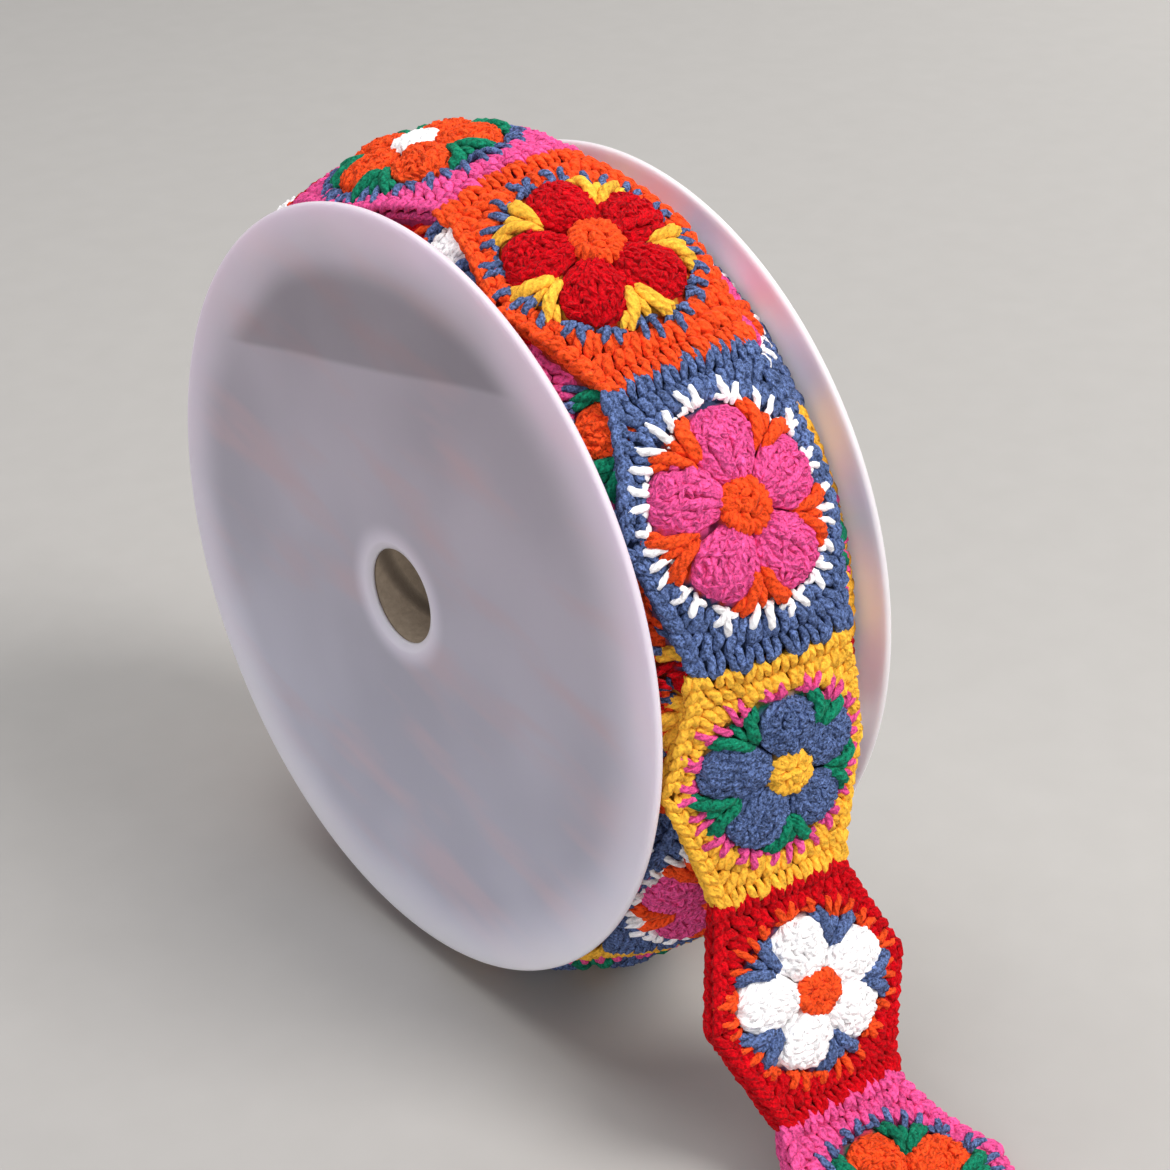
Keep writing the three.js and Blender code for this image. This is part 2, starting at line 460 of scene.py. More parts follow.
def loose_curve():
    """The loose end's middle line, as forward and height for each step, with its length."""
    start = math.radians(LOOSE_START_ANGLE)
    middle = OUTER_RADIUS - SHEET_THICKNESS / 2
    knots = [(middle * math.cos(start * s), middle * math.sin(start * s)) for s in (1, 0.5)]
    knots = np.array(knots + LOOSE_ROUTE)
    points = []
    for i in range(len(knots) - 1):
        before, here, after = knots[max(i - 1, 0)], knots[i], knots[i + 1]
        beyond = knots[min(i + 2, len(knots) - 1)]
        lead_in, lead_out = (after - before) / 2, (beyond - here) / 2
        for t in np.linspace(0, 1, 40, endpoint=False):
            points.append(
                (2 * here - 2 * after + lead_in + lead_out) * t**3
                + (-3 * here + 3 * after - 2 * lead_in - lead_out) * t**2
                + lead_in * t + here
            )
    points.append(knots[-1])
    points = np.array(points)
    steps = np.hypot(*np.diff(points, axis=0).T)
    return points, np.concatenate([[0], np.cumsum(steps)])


class LooseLay:
    """The free end of the band, along its hanging curve."""

    def __init__(self):
        self.points, self.lengths = loose_curve()
        self.length = self.lengths[-1]
        self.tangents = np.gradient(self.points, self.lengths, axis=0)

    def place(self, across, along, lift):
        """A place from millimetres across, millimetres down the band, and lift over the ground."""
        def read(table, column):
            return np.interp(along, self.lengths, table[:, column])

        forward, height = read(self.points, 0), read(self.points, 1)
        run, rise = read(self.tangents, 0), read(self.tangents, 1)
        drop = OUTER_DROP * (1 - smooth(along / CROWN_FADES))
        slope = -2 * drop * (across - OUTER_CROWN_AT)
        lean = np.sqrt(1 + slope * slope)
        out = SHEET_THICKNESS / 2 - STITCH_SINK - drop * (across - OUTER_CROWN_AT) ** 2 + lift / lean
        x = across - lift * slope / lean
        return np.stack([x, AXIS_Y - forward + rise * out, AXIS_Z + height + run * out], -1)

    def motif(self, index, flat):
        """Places on free motif number index from flat places: across, along and lift."""
        share = 0.5 - flat[:, 1] / (2 * MOTIF_HALF_LENGTH)
        vertex = WOUND_VERTEX if index == 0 else LOOSE_VERTEX
        across = motif_across(flat, share, index, LOOSE_JOIN, vertex)
        if index == 0:
            aside = np.clip(1 - (flat[:, 0] / VERTEX_HALF) ** 2, 0, 1)
            across = across + FIRST_FLOWER_SHIFT * aside * np.clip(4 * share * (1 - share), 0, 1)
        along = LOOSE_JOINS[index] + share * (LOOSE_JOINS[index + 1] - LOOSE_JOINS[index])
        return self.place(BAND_CENTRE + across, along * self.length, flat[:, 2])


# The motif's stitches, as strands of yarn laid out flat


def outline_reach(angle):
    """Distance from the motif's middle to the hexagon's edge, in a direction from across."""
    c, s = abs(math.cos(angle)), abs(math.sin(angle))
    to_join = MOTIF_HALF_LENGTH / max(s, 1e-6)
    slant = VERTEX_HALF / (c + s * (VERTEX_HALF - JOIN_HALF) / MOTIF_HALF_LENGTH)
    return min(to_join, slant)


def round_reach(angle):
    """Distance to the outer edge of the contrasting round."""
    return 1 / math.hypot(math.cos(angle) / ROUND_ACROSS, math.sin(angle) / ROUND_ALONG)


def petal_half_width(share):
    """Half a petal's width from its root at 0 to its tip at 1: an oval, with room to its neighbours."""
    skewed = np.clip(share, 0, 1) ** 1.2
    oval = PETAL_HALF_WIDTH * np.sqrt(np.clip(1 - np.abs(2 * skewed - 1) ** 2.3, 0, 1))
    room = (PETAL_INNER + (PETAL_OUTER - PETAL_INNER) * share) * math.tan(math.pi / PETALS) - PETAL_CREASE
    return np.minimum(oval, room)


def petal_dome(share, side):
    """Height of a petal's puff at a share of its length and a side from -1 to 1."""
    crest = np.clip(1 - np.abs(2 * np.clip(share, 0, 1) - 1) ** 2.6, 0, 1) ** 0.5
    return PETAL_BASE + PETAL_RISE * crest * np.sqrt(np.clip(1 - 0.9 * side**2, 0, 1))


def turned_by(angle, along, aside=0.0):
    """A flat place at a distance along a direction and aside from it."""
    c, s = math.cos(angle), math.sin(angle)
    return np.array([along * c - aside * s, along * s + aside * c])


class Strands:
    """Strands of yarn gathered for one motif."""

    def __init__(self, seed):
        self.random = np.random.default_rng(seed)
        self.points, self.radii, self.colours = [], [], []

    def add(self, points, radius, yarn, ends=0.55, jitter=0.14):
        """One strand through flat places, thinner at its ends and never quite even."""
        points = np.array(points, dtype=float)
        count = len(points)
        points = points + self.random.normal(0, jitter, points.shape) * [1, 1, 0.7]
        share = np.linspace(-1, 1, count)
        radii = radius * (ends + (1 - ends) * np.sqrt(np.clip(1 - share**4, 0, 1)))
        radii = radii * self.random.normal(1.0, 0.07, count)
        colour = YARN_RGB[yarn] * self.random.normal(1.0, 0.07)
        flecks = self.random.normal(1.0, 0.07, (count, 1))
        self.points.append(points)
        self.radii.append(radii)
        self.colours.append(np.clip(colour * flecks, 0, 1))

    def arc(self, start, end, base, crest, radius, yarn, steps=6, bow=0.0, **keep):
        """One strand from start to end that rises from base to crest and may bow aside."""
        start, end = np.array(start, dtype=float), np.array(end, dtype=float)
        aside = np.array([-(end - start)[1], (end - start)[0]])
        aside /= max(np.linalg.norm(aside), 1e-6)
        share = np.linspace(0, 1, steps)[:, None]
        hump = np.sin(np.pi * share)
        flat = start + (end - start) * share + aside * bow * hump
        lift = base + (crest - base) * hump**0.7
        self.add(np.hstack([flat, lift]), radius, yarn, **keep)


BORDER_STITCHES = 40
POST_END = 3.7
ROUND_STITCHES = 34
TEETH = 6
CHAIN_PITCH = 3.9


def border_posts(strands, yarn):
    """Stitches in pairs from the contrasting round out to the border's chain."""
    for i in range(BORDER_STITCHES):
        angle = math.tau * (i + 0.5) / BORDER_STITCHES
        inner = round_reach(angle) - 2.2
        reach = outline_reach(angle) - POST_END - inner
        tiers = max(1, round(reach / 5.4))
        for tier in range(tiers):
            low = inner + reach * tier / tiers - 0.8 * (tier > 0)
            high = inner + reach * (tier + 1) / tiers
            aside = high * math.tau / BORDER_STITCHES / 4
            for side in (-1, 1):
                shift = strands.random.normal(0, 0.3)
                strands.arc(
                    turned_by(angle, low, side * 0.6 * aside + shift), turned_by(angle, high, side * aside),
                    0.1, 1.3, 1.2 * math.sqrt(aside), yarn, ends=0.4, bow=0.3 * side, jitter=0.22,
                )


def edge_sides():
    """The four free sides of the hexagon, each with its start, its travel and its outward way."""
    for side in (-1, 1):
        for end in (-1, 1):
            start = np.array([side * JOIN_HALF, end * MOTIF_HALF_LENGTH])
            travel = np.array([side * VERTEX_HALF, 0.0]) - start
            outward = side * np.array([MOTIF_HALF_LENGTH, end * (VERTEX_HALF - JOIN_HALF)])
            yield start, travel, outward / np.linalg.norm(outward)


def edge_chain(strands, yarn, thick):
    """A chunky chain along the free sides, with the rim's own thickness under it."""
    for start, travel, outward in edge_sides():
        span = np.linalg.norm(travel)
        count = round(span / CHAIN_PITCH)
        pitch = travel / count
        for i in range(count):
            middle = start + pitch * (i + 0.5)
            tail, head = middle - pitch * 0.62, middle + pitch * 0.62
            strands.arc(tail - outward * 2.3, head - outward * 0.8, 0.3, 2.0, 1.2, yarn, ends=0.35)
            strands.arc(tail - outward * 2.5, head - outward * 3.8, 0.3, 2.0, 1.15, yarn, ends=0.35)
            strands.arc(head - outward * 1.3, tail - outward * 3.1, 0.9, 2.4, 0.8, yarn, steps=5, ends=0.4)
            strands.arc(tail - outward * 1.0, head - outward * 1.0, -1.4, -0.9, 1.1, yarn, steps=5)
            if thick:
                strands.arc(tail - outward * 1.3, head - outward * 1.3, -3.2, -2.8, 1.05, yarn, steps=5)


def join_teeth(strands, yarn, end, plain):
    """The joined side at one end: teeth that grip over the neighbour, or a plain chain."""
    pitch = 2 * JOIN_HALF / TEETH
    for i in range(TEETH):
        centre = -JOIN_HALF + pitch * (i + (0.25 if end > 0 else 0.75))
        if plain:
            for row in (1.2, 3.0):
                level = end * (MOTIF_HALF_LENGTH - row)
                half = pitch * 0.62
                strands.arc((centre - half, level), (centre + half, level), 0.4, 1.8, 1.1, yarn)
            continue
        tip = end * (MOTIF_HALF_LENGTH + strands.random.uniform(1.5, 2.6))
        for side in (-1, 0, 1):
            root = end * (MOTIF_HALF_LENGTH - 4.6 + 0.6 * abs(side))
            shift = strands.random.normal(0, 0.3)
            strands.arc(
                (centre + side * 2.5, root), (centre + side * 0.75 + shift, tip),
                0.3, 2.2, 1.05, yarn, steps=7, bow=-0.3 * side * end,
            )


LEAF_ZONE = 0.2


def round_stitches(strands, yarn, turn):
    """The contrasting round: legs that spread outwards over the border, in a V at each leaf."""
    random = strands.random
    gap = math.tau / PETALS
    for i in range(ROUND_STITCHES):
        angle = math.tau * (i + 0.5) / ROUND_STITCHES + random.normal(0, 0.018)
        from_leaf = (angle - turn) % gap - gap / 2
        at_leaf = abs(from_leaf) < LEAF_ZONE
        partner = (0.5 - i % 2) * math.tau / ROUND_STITCHES
        inner_angle = angle - from_leaf * 0.45 if at_leaf else angle + partner * 0.7
        outer = round_reach(angle) + random.uniform(1.0, 3.1)
        inner = round_reach(angle) - (5.2 if at_leaf else 3.2)
        strands.arc(
            turned_by(inner_angle, inner), turned_by(angle, outer),
            1.1, 2.5, random.uniform(0.84, 1.04), yarn, ends=0.45, jitter=0.2,
        )
        side = random.choice([-1, 1])
        strands.arc(
            turned_by(angle, inner + 0.9, -1.4 * side), turned_by(angle, inner + 1.6, 1.5 * side),
            0.7, 1.7, 0.85, yarn, steps=5, jitter=0.25,
        )


def leaf_stitches(strands, yarn, turn):
    """A thick V in each gap of the flower, with shorter stitches between and beside its arms."""
    for petal in range(PETALS):
        angle = turn + math.tau * (petal + 0.5) / PETALS
        for aside in (-1.0, 1.0):
            for layer in (0.0, 0.8):
                strands.arc(
                    turned_by(angle, 12.6 + layer, aside * 0.6),
                    turned_by(angle, 22.6 - layer, aside * (5.2 - 1.5 * layer)),
                    1.4, 3.6 - layer * 0.3, 1.3, yarn, bow=-0.3 * aside, jitter=0.18,
                )
            strands.arc(
                turned_by(angle, 18.2, aside * 3.4), turned_by(angle, 21.4, aside * 7.0),
                0.9, 2.3, 1.1, yarn, steps=5,
            )
        strands.arc(turned_by(angle, 15.8), turned_by(angle, 21.6), 1.1, 2.6, 1.2, yarn, steps=5)


PETAL_LEGS = 9
PETAL_LOOPS = 50


def petal_stitches(strands, yarn, turn):
    """Each petal is a puff: loose legs gathered at root and tip, with loops that stray over them."""
    random = strands.random
    for petal in range(PETALS):
        angle = turn + math.tau * petal / PETALS + random.normal(0, 0.035)
        outer = PETAL_OUTER + random.normal(0, 0.4)

        def on_petal(share, side, over):
            along = PETAL_INNER + (outer - PETAL_INNER) * share
            aside = petal_half_width(share) * side
            flat = turned_by(angle, along, aside)
            return [flat[0], flat[1], float(petal_dome(share, side)) + over]

        for leg in range(PETAL_LEGS):
            lane = 1.86 * leg / (PETAL_LEGS - 1) - 0.93
            sway = random.normal(0, 0.06)
            phase = random.uniform(0, math.pi)
            shares = np.linspace(0.02, 0.985, 9)
            sides = np.clip(lane + sway * np.sin(phase + 4 * shares), -0.97, 0.97)
            over = random.normal(-0.35, 0.15)
            points = [on_petal(share, side, over) for share, side in zip(shares, sides)]
            strands.add(points, 1.2, yarn, jitter=0.2)
        for loop in range(PETAL_LOOPS):
            share = 0.07 + 0.88 * ((loop * 0.618) % 1) ** 0.9
            side = np.clip(2 * (loop + 0.5) / PETAL_LOOPS - 1 + random.normal(0, 0.08), -0.92, 0.92)
            heading = random.normal(0, 0.9)
            reach = random.uniform(1.0, 1.9)
            run = np.linspace(-1, 1, 4)
            shares = share + run * reach * math.cos(heading) / (outer - PETAL_INNER)
            shares = np.clip(shares, 0.03, 0.97)
            sides = side + run * reach * math.sin(heading) / PETAL_HALF_WIDTH
            sides = np.clip(sides + random.normal(0, 0.12) * run**2, -0.95, 0.95)
            overs = 0.1 + 0.55 * (1 - run**4)
            points = [on_petal(*place) for place in zip(shares, sides, overs)]
            strands.add(points, random.uniform(0.62, 0.85), yarn, ends=0.5, jitter=0.12)


EYE_LOOPS = 15
EYE_SPOKES = 20


def eye_stitches(strands, yarn):
    """A knobbly button of short loops."""
    random = strands.random
    for i in range(EYE_LOOPS):
        angle = math.tau * i / EYE_LOOPS
        reach = EYE_RADIUS * (0.1, 0.42, 0.72)[i % 3] + random.normal(0, 0.25)
        heading = angle + random.choice([0.4, 1.2, 1.9])
        middle = turned_by(angle, reach)
        half = np.array([math.cos(heading), math.sin(heading)]) * random.uniform(1.5, 2.0)
        top = 4.5 - 0.9 * (reach / EYE_RADIUS) ** 2
        strands.arc(middle - half, middle + half, top - 1.3, top, 1.0, yarn, steps=5, jitter=0.2)
    for i in range(EYE_SPOKES):
        angle = math.tau * (i + 0.5) / EYE_SPOKES
        strands.arc(
            turned_by(angle, 2.6), turned_by(angle, EYE_RADIUS + random.uniform(-0.4, 0.2)),
            2.6, 3.8, 1.15, yarn, steps=5, ends=0.8, jitter=0.15,
        )


BACK_STITCHES = 56
BACK_LEGS = 7
BACK_LIFT = -2.0


def back_stitches(strands, yarns, turn):
    """The flat back of a motif: the same yarns, without puffs or Vs."""
    for i in range(BACK_STITCHES):
        angle = math.tau * (i + 0.5) / BACK_STITCHES
        inner, outer = round_reach(angle) - 1.0, outline_reach(angle) - 1.5
        strands.arc(
            turned_by(angle, inner), turned_by(angle, outer),
            BACK_LIFT + 0.5, BACK_LIFT, 1.35, yarns["border"], jitter=0.25,
        )
        strands.arc(
            turned_by(angle, inner - 4.5), turned_by(angle, inner + 0.6),
            BACK_LIFT + 0.4, BACK_LIFT, 1.1, yarns["round"], steps=5, jitter=0.2,
        )
    for petal in range(PETALS):
        angle = turn + math.tau * petal / PETALS
        for leg in range(BACK_LEGS):
            lane = 1.8 * leg / (BACK_LEGS - 1) - 0.9
            points = []
            for share in np.linspace(0.02, 0.96, 6):
                along = PETAL_INNER + (PETAL_OUTER - PETAL_INNER) * share
                points.append([*turned_by(angle, along, float(petal_half_width(share)) * lane), BACK_LIFT])
            strands.add(points, 1.2, yarns["petal"], jitter=0.25)
        gap = angle + math.pi / PETALS
        for aside in (-1, 1):
            strands.arc(
                turned_by(gap, 13.0), turned_by(gap, 20.5, aside * 3.0),
                BACK_LIFT, BACK_LIFT - 0.3, 1.2, yarns["leaf"],
            )
    for i in range(EYE_LOOPS):
        angle = math.tau * i / EYE_LOOPS
        strands.arc(
            turned_by(angle, 1.0), turned_by(angle, EYE_RADIUS),
            BACK_LIFT, BACK_LIFT - 0.5, 1.2, yarns["eye"], steps=5,
        )


def motif_strands(lay, index, colourway, seed, thick=False, plain_end=False, keep=None):
    """One motif's strands laid in their place. keep drops what a higher turn covers."""
    flat = Strands(seed)
    yarns = COLOURWAYS[colourway]
    turn = PETAL_TURN + flat.random.normal(0, 0.05)
    border_posts(flat, yarns["border"])
    edge_chain(flat, yarns["border"], thick)
    join_teeth(flat, yarns["border"], 1, False)
    join_teeth(flat, yarns["border"], -1, plain_end)
    round_stitches(flat, yarns["round"], turn)
    leaf_stitches(flat, yarns["leaf"], turn)
    petal_stitches(flat, yarns["petal"], turn)
    eye_stitches(flat, yarns["eye"])
    if thick:
        back_stitches(flat, yarns, turn)
    laid = []
    for points, radii, colours in zip(flat.points, flat.radii, flat.colours):
        placed = lay.motif(index, points)
        if keep is None or keep(placed[len(placed) // 2]):
            laid.append((placed, radii, colours))
    return laid


# Geometry Nodes: strands of yarn swept along their lines


def yarn_tree():
    """Sweeps a round section along each strand and keeps where a point lies around and along it."""
    tree = bpy.data.node_groups.new("sweep_yarn", "GeometryNodeTree")
    for name, kind in (("Strand lines", "Geometry"), ("Section sides", "Int"), ("Yarn", "Material")):
        tree.interface.new_socket(name, in_out="INPUT", socket_type="NodeSocket" + kind)
    tree.interface.new_socket("Swept yarn", in_out="OUTPUT", socket_type="NodeSocketGeometry")

    def node(kind, settings=None, values=None):
        return add_node(tree, kind, settings, values)

    def maths(operation, first, second=0.0):
        return node("ShaderNodeMath", {"operation": operation}, {0: first, 1: second}).outputs[0]

    def named(name):
        return node("GeometryNodeInputNamedAttribute", {"data_type": "FLOAT"}, {"Name": name}).outputs[0]

    def store(geometry, name, value, kind="FLOAT"):
        return node(
            "GeometryNodeStoreNamedAttribute", {"data_type": kind, "domain": "POINT"},
            {"Geometry": geometry, "Name": name, "Value": value},
        ).outputs[0]

    given = node("NodeGroupInput").outputs
    lines = node("GeometryNodeMeshToCurve", None, {"Mesh": given["Strand lines"]}).outputs["Curve"]
    lines = store(lines, "along", node("GeometryNodeSplineParameter").outputs["Length"])
    section = node(
        "GeometryNodeCurvePrimitiveCircle", {"mode": "RADIUS"},
        {"Resolution": given["Section sides"], "Radius": 1.0},
    ).outputs["Curve"]
    section = store(section, "around", node("GeometryNodeSplineParameter").outputs["Factor"])
    sweep = node("GeometryNodeCurveToMesh", None, {
        "Curve": lines, "Profile Curve": section, "Scale": named("strand_radius"), "Fill Caps": True,
    }).outputs[0]
    angle = maths("MULTIPLY", named("around"), math.tau)
    twist = node("ShaderNodeCombineXYZ", None, {
        0: maths("COSINE", angle), 1: maths("SINE", angle), 2: maths("DIVIDE", named("along"), MM),
    }).outputs[0]
    swept = store(sweep, "yarn_twist", twist, "FLOAT_VECTOR")
    shaded = node("GeometryNodeSetShadeSmooth", None, {"Geometry": swept}).outputs[0]
    real = node("GeometryNodeRealizeInstances", None, {"Geometry": shaded}).outputs[0]
    dyed = node("GeometryNodeSetMaterial", None, {"Geometry": real, "Material": given["Yarn"]}).outputs[0]
    node("NodeGroupOutput", None, {"Swept yarn": dyed})
    return tree


def set_colours(mesh, colours):
    """Stores a colour for each vertex, in linear RGB."""
    rgba = np.ones((len(colours), 4), dtype=np.float32)
    rgba[:, :3] = colours
    mesh.attributes.new("yarn_colour_and_ground_shade", "FLOAT_COLOR", "POINT").data.foreach_set("color", rgba.ravel())


def lines_mesh(name, laid):
    """Strand lines as a mesh of edges, in metres."""
    points = np.vstack([p for p, _, _ in laid]) * MM
    edges, first = [], 0
    for strand, _, _ in laid:
        edges += [(first + i, first + i + 1) for i in range(len(strand) - 1)]
        first += len(strand)
    mesh = bpy.data.meshes.new(name)
    mesh.from_pydata(points.tolist(), edges, [])
    radii = np.concatenate([r for _, r, _ in laid]) * MM
    mesh.attributes.new("strand_radius", "FLOAT", "POINT").data.foreach_set("value", radii.astype(np.float32))
    set_colours(mesh, np.vstack([c for _, _, c in laid]))
    return mesh


FLOOR_CLEAR = 0.0001
SECTION_SIDES = 6


def press_flat(mesh):
    """What would reach into the surface that the roll stands on is pressed flat against it."""
    places = np.empty(len(mesh.vertices) * 3, dtype=np.float32)
    mesh.vertices.foreach_get("co", places)
    places[2::3] = np.maximum(places[2::3], FLOOR_CLEAR)
    mesh.vertices.foreach_set("co", places)
    mesh.update()


def yarn_piece(name, laid, tree, material):
    """A piece of swept yarn as a plain mesh."""
    piece = add_object(name, lines_mesh(name + "_lines", laid))
    modifier = piece.modifiers.new("yarn", "NODES")
    modifier.node_group = tree
    settings = {"Section sides": SECTION_SIDES, "Yarn": material}
    for item in tree.interface.items_tree:
        if item.item_type == "SOCKET" and item.in_out == "INPUT" and item.name in settings:
            modifier[item.identifier] = settings[item.name]
    evaluated = piece.evaluated_get(bpy.context.evaluated_depsgraph_get())
    mesh = bpy.data.meshes.new_from_object(evaluated)
    piece.modifiers.remove(modifier)
    mesh.name = name
    for spare in ("strand_radius", "along", "around"):
        if spare in mesh.attributes:
            mesh.attributes.remove(mesh.attributes[spare])
    piece.data = mesh
    press_flat(mesh)
    return piece


# The ground under the stitches

PETAL_GAPS = 12.5


def motif_ground(across, along, colourway):
    """Lift and colour of the ground at a flat place of a motif; between the stitches the colour is darkened
    as painted shade.
    """
    yarns = COLOURWAYS[colourway]
    distance, angle = math.hypot(across, along), math.atan2(along, across)
    if distance < EYE_RADIUS - 0.3:
        return 3.8 - 0.15 * distance, YARN_RGB[yarns["eye"]]
    for petal in range(PETALS):
        turn = angle - PETAL_TURN - math.tau * petal / PETALS
        share = (distance * math.cos(turn) - PETAL_INNER) / (PETAL_OUTER - PETAL_INNER)
        if 0.02 < share < 0.98:
            side = abs(distance * math.sin(turn)) / float(petal_half_width(share))
            if side < 0.97:
                return float(petal_dome(share, side)) - 0.35, YARN_RGB[yarns["petal"]]
    reach = round_reach(angle)
    # Painted shade: the ground is darker in the petal gaps, under the leaves and under the border.
    if distance < PETAL_GAPS:
        return 0.3, YARN_RGB[yarns["petal"]] * 0.3
    if distance < reach - 3.5:
        return 1.0, YARN_RGB[yarns["leaf"]] * 0.8
    return 0.4 if distance < reach - 0.5 else -0.2, YARN_RGB[yarns["border"]] * 0.5


def grid_piece(name, rows, colours, closed, material):
    """A closed piece from rows of places, each row one loop around its section."""
    count, around = rows.shape[0], rows.shape[1]
    faces = []
    for i in range(count if closed else count - 1):
        here, there = i * around, ((i + 1) % count) * around
        for j in range(around):
            k = (j + 1) % around
            faces.append((here + j, here + k, there + k, there + j))
    if not closed:
        last = (count - 1) * around
        for j in range(around // 2 - 1):
            faces.append((j, around - 1 - j, around - 2 - j, j + 1))
            faces.append((last + j, last + j + 1, last + around - 2 - j, last + around - 1 - j))
    mesh = bpy.data.meshes.new(name)
    mesh.from_pydata((rows.reshape(-1, 3) * MM).tolist(), [], faces)
    if colours is not None:
        set_colours(mesh, colours.reshape(-1, 3))
    mesh.polygons.foreach_set("use_smooth", [True] * len(mesh.polygons))
    mesh.materials.append(material)
    press_flat(mesh)
    return add_object(name, mesh)


OUTER_LANE = WoundLay(BAND_CENTRE, OUTER_RADIUS, OUTER_DROP, OUTER_CROWN_AT)
# The turn just below leans to the far flange, and an older one to the near flange
UNDER_MOTIFS = 10
UNDER_MOTIF_ANGLE = 360.0 / UNDER_MOTIFS
FAR_LANE = WoundLay(10.5, LOWER_RADIUS, LOWER_DROP, 0.0, -43.1, UNDER_MOTIF_ANGLE, relief=0.5)
NEAR_LANE = WoundLay(-11.5, LOWER_RADIUS, LOWER_DROP, 0.0, -58.5, UNDER_MOTIF_ANGLE)
FAR_COLOURWAYS = (BAND_ORDER[3:] + BAND_ORDER[:3]) * 2
NEAR_COLOURWAYS = BAND_ORDER * 2


def outer_reaches(turned):
    """The outermost turn's reach to the near and far side, a turn up from the step."""
    join = STEP_JOIN if turned < MOTIF_ANGLE / 2 else WOUND_JOIN
    return [float(reach) for reach in reaches(turned / MOTIF_ANGLE % 1, join, WOUND_VERTEX)]


def lane_ground(lay, colourways, across, turned):
    """Lift and colour of a lane's ground at a place across the room and a turn from the step."""
    motif_turn = (turned - lay.first) % 360 / lay.motif_angle
    share = motif_turn % 1
    offset = across - lay.centre
    near, far = reaches(share, WOUND_JOIN, WOUND_VERTEX)
    flat_across = offset * flat_half(share) / (near if offset < 0 else far)
    flat_along = (share - 0.5) * 2 * MOTIF_HALF_LENGTH
    return motif_ground(flat_across, flat_along, colourways[int(motif_turn) % len(colourways)])


GROUND_STEPS = 36
CORE_SHADE = np.array([0.2, 0.15, 0.12])


def wound_ground(material):
    """The whole wound form under its stitches, one closed solid."""
    step = MOTIF_ANGLE / GROUND_STEPS
    last_turn = 359.7
    turns = np.append(np.arange(0, last_turn - step / 2, step), last_turn)
    outer_columns, side_columns = 41, 9
    rows, colours = [], []
    for turned in turns:
        near, far = outer_reaches(turned)
        near_edge, far_edge = BAND_CENTRE - near, BAND_CENTRE + far
        angle = math.radians(STEP_ANGLE + turned)
        bore = [AXIS_Y - ROLL_BORE * math.cos(angle), AXIS_Z + ROLL_BORE * math.sin(angle)]
        row, shade = [[-ROLL_HALF] + bore], [CORE_SHADE]
        for lane, colourways, start, end, columns in (
            (NEAR_LANE, NEAR_COLOURWAYS, -ROLL_HALF, near_edge, side_columns),
            (OUTER_LANE, WINDING, near_edge, far_edge, outer_columns),
            (FAR_LANE, FAR_COLOURWAYS, far_edge, ROLL_HALF, side_columns),
        ):
            for x in np.linspace(start, end, columns):
                lift, colour = lane_ground(lane, colourways, x, turned)
                if lane is OUTER_LANE:
                    lift -= 1.2 * (1 - min(1.0, min(x - start, end - x) / 2.0))
                else:
                    lift *= 0.6
                row.append(lane.place(x, turned, lift))
                shade.append(colour)
        row.append([ROLL_HALF] + bore)
        shade.append(CORE_SHADE)
        rows.append(row)
        colours.append(shade)
    return grid_piece("wound_ground", np.array(rows), np.array(colours), True, material)


EDGE_INSET = 0.8


def loose_ground(lay, colourways, material):
    """The loose end's ground cloth, one closed sheet."""
    steps, columns = 32, 33
    rows, colours = [], []
    for step in range(LOOSE_MOTIFS * steps + 1):
        index = min(step // steps, LOOSE_MOTIFS - 1)
        share = step / steps - index
        along = (0.5 - share) * 2 * MOTIF_HALF_LENGTH
        half = float(flat_half(share)) - EDGE_INSET
        face, back, face_shade, back_shade = [], [], [], []
        for across in np.linspace(-half, half, columns):
            lift, colour = motif_ground(across, along, colourways[index])
            inset = min(1.0, (half - abs(across)) / 2.0)
            face.append([across, along, lift - 0.8 * (1 - inset)])
            back.append([across, along, STITCH_SINK - SHEET_THICKNESS + 0.5 * (1 - inset)])
            face_shade.append(colour)
            back_shade.append(colour * 1.5)
        rows.append(lay.motif(index, np.array(face + back[::-1])))
        colours.append(face_shade + back_shade[::-1])
    return grid_piece("loose_ground", np.array(rows)[::-1], np.array(colours)[::-1], False, material)


# The spool


def ring_piece(name, profile, segments, material):
    """A ring around the spool's axis from a closed profile of places along X and radii."""
    rows = [
        [(x, AXIS_Y - radius * math.cos(a), AXIS_Z + radius * math.sin(a)) for x, radius in profile]
        for a in np.linspace(0, math.tau, segments, endpoint=False)
    ]
    return grid_piece(name, np.array(rows), None, True, material)


CHAMFER_DEPTH, CHAMFER_WIDTH = 1.1, 1.9
RIM_SOFT = 0.9
FLANGE_SEGMENTS, CORE_SEGMENTS = 240, 96


def flange(name, inner_face, outward, material):
    """A thin flange with a round rim, and a hole that is chamfered on its outer face."""
    outer, hole = FLANGE_THICKNESS, SPINDLE_RADIUS
    lip = hole + CHAMFER_WIDTH
    profile = [(0.0, radius) for radius in (hole + 0.3, hole + 0.8, 30.0, 60.0, 90.0, 97.5)]
    for first, middle in ((-90, RIM_SOFT), (0, outer - RIM_SOFT)):
        for turn in np.linspace(first, first + 90, 5):
            a = math.radians(turn)
            radius = FLANGE_RADIUS - RIM_SOFT + RIM_SOFT * math.cos(a)
            profile.append((middle + RIM_SOFT * math.sin(a), radius))
    profile += [(outer, radius) for radius in (97.5, 90.0, 60.0, 30.0, lip + 0.7, lip + 0.25)]
    profile += [
        (outer - 0.12, lip - 0.15), (outer - CHAMFER_DEPTH + 0.15, hole + 0.25),
        (outer - CHAMFER_DEPTH - 0.1, hole), (0.3, hole),
    ]
    places = [(inner_face + outward * depth, radius) for depth, radius in profile]
    return ring_piece(name, places if outward < 0 else places[::-1], FLANGE_SEGMENTS, material)


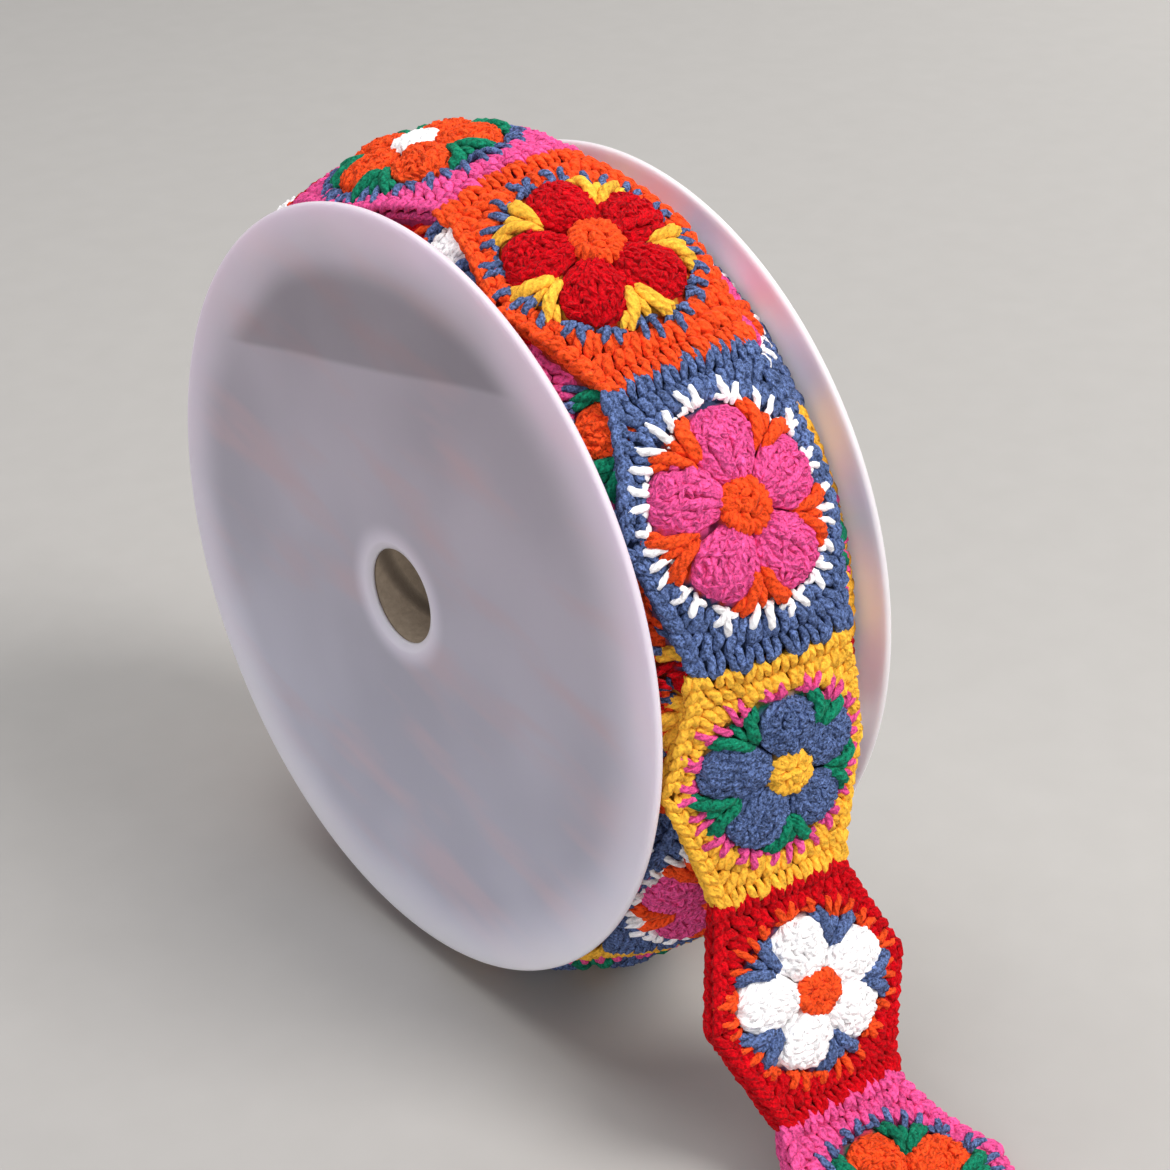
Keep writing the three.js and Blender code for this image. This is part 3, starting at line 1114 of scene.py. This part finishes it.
def core(material):
    """The board tube between the flanges."""
    third = CORE_HALF / 3
    profile = [(x, SPINDLE_RADIUS) for x in (-CORE_HALF, -third, third, CORE_HALF)]
    profile += [(CORE_HALF, CORE_RADIUS), (-CORE_HALF, CORE_RADIUS)]
    return ring_piece("board_core", profile, CORE_SEGMENTS, material)


# Putting it together


def settle(piece, slot, *nodes):
    """The piece rides on the object's one body and stands for its nodes, which are hidden; slot is not used.
    """
    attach(piece, "root")
    if nodes:
        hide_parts(*nodes)
    return piece


COVER_MARGIN = 2.5
LANE_SIGHT = 33.3
LAST_STITCH_TURN = 358.5


def turn_of(place):
    """Degrees up the roll from the step to a place."""
    return (math.degrees(math.atan2(place[2] - AXIS_Z, AXIS_Y - place[1])) - STEP_ANGLE) % 360


def before_step(place):
    """True for a place of the last motif that doesn't run in under the first."""
    return 180 < turn_of(place) < LAST_STITCH_TURN


def covered_by_outer(place):
    """True for a place under the outermost turn, well inside its edges."""
    near, far = outer_reaches(turn_of(place))
    return BAND_CENTRE - near + COVER_MARGIN < place[0] < BAND_CENTRE + far - COVER_MARGIN


FLOOR_HALF = 9.0


def add_floor():
    """The surface that the roll stands on, which is staging."""
    mesh = bpy.data.meshes.new("floor")
    corners = [(x * FLOOR_HALF, y * FLOOR_HALF, 0) for x, y in ((-1, -1), (1, -1), (1, 1), (-1, 1))]
    mesh.from_pydata(corners, [], [(0, 1, 2, 3)])
    mesh.materials.append(floor_material())
    add_object("floor", mesh)


LIGHTS_MEET = Vector((0.0, 0.0, 0.1))


def add_light(name, place, size, power, colour):
    data = bpy.data.lights.new(name, "AREA")
    data.shape, data.size, data.energy, data.color = "DISK", size, power, colour
    aim(add_object(name, data), place, LIGHTS_MEET - Vector(place))


def add_lights():
    add_light("key", (0.55, -1.1, 1.5), 0.9, 30.0, (1.0, 0.98, 0.96))
    add_light("fill", (-1.5, -0.9, 0.7), 1.2, 9.0, (0.94, 0.95, 1.0))
    add_light("top", (-0.2, 0.6, 1.9), 1.2, 14.0, (1.0, 1.0, 1.0))
    add_light("through", (1.3, 0.5, 0.6), 0.9, 5.0, (1.0, 0.99, 0.97))
    world = bpy.data.worlds.new("studio")
    world.use_nodes = True
    sky = world.node_tree.nodes["Background"].inputs
    sky["Color"].default_value = (0.95, 0.96, 1.0, 1.0)
    sky["Strength"].default_value = 0.42
    bpy.context.scene.world = world
    bpy.context.scene.view_settings.view_transform = "Standard"


def build():
    add_camera()
    yarn, ground = yarn_material(), ground_material()
    near_plastic = flange_material("milky_near_flange", NEAR_TONES)
    far_plastic = flange_material("milky_far_flange", FAR_TONES)
    board = board_material()
    tree = yarn_tree()

    settle(wound_ground(ground), "crochet_yarn", "wound_roll")
    for index, colourway in enumerate(WINDING):
        last = index == len(WINDING) - 1
        laid = motif_strands(OUTER_LANE, index, colourway, 100 + index, keep=before_step if last else None)
        settle(yarn_piece(f"wound_motif_{index + 1}", laid, tree, yarn), "crochet_yarn", "wound_roll")

    def shows(lower, upper):
        return lambda place: lower < place[0] < upper and not covered_by_outer(place)

    for name, lane, colourways, sight, seed in (
        ("near", NEAR_LANE, NEAR_COLOURWAYS, shows(-LANE_SIGHT, BAND_CENTRE), 300),
        ("far", FAR_LANE, FAR_COLOURWAYS, shows(BAND_CENTRE, LANE_SIGHT), 400),
    ):
        laid = []
        for index in range(UNDER_MOTIFS):
            laid += motif_strands(lane, index, colourways[index], seed + index, keep=sight)
        settle(yarn_piece(f"under_turn_{name}", laid, tree, yarn), "crochet_yarn", "wound_roll")

    loose = LooseLay()
    loose_colourways = ["denim", "white", "orange"]
    cloth = settle(loose_ground(loose, loose_colourways, ground), "crochet_yarn", "loose_end")
    for index, colourway in enumerate(loose_colourways):
        last = index == LOOSE_MOTIFS - 1
        laid = motif_strands(loose, index, colourway, 200 + index, thick=True, plain_end=last)
        settle(yarn_piece(f"loose_motif_{index + 1}", laid, tree, yarn), "crochet_yarn")

    settle(flange("near_flange", NEAR_INNER_FACE, -1, near_plastic), "flange_plastic", "flange_near")
    settle(flange("far_flange", FAR_INNER_FACE, 1, far_plastic), "flange_plastic", "flange_far")
    settle(core(board), "core_board", "core_tube")

    add_floor()
    add_lights()


build()
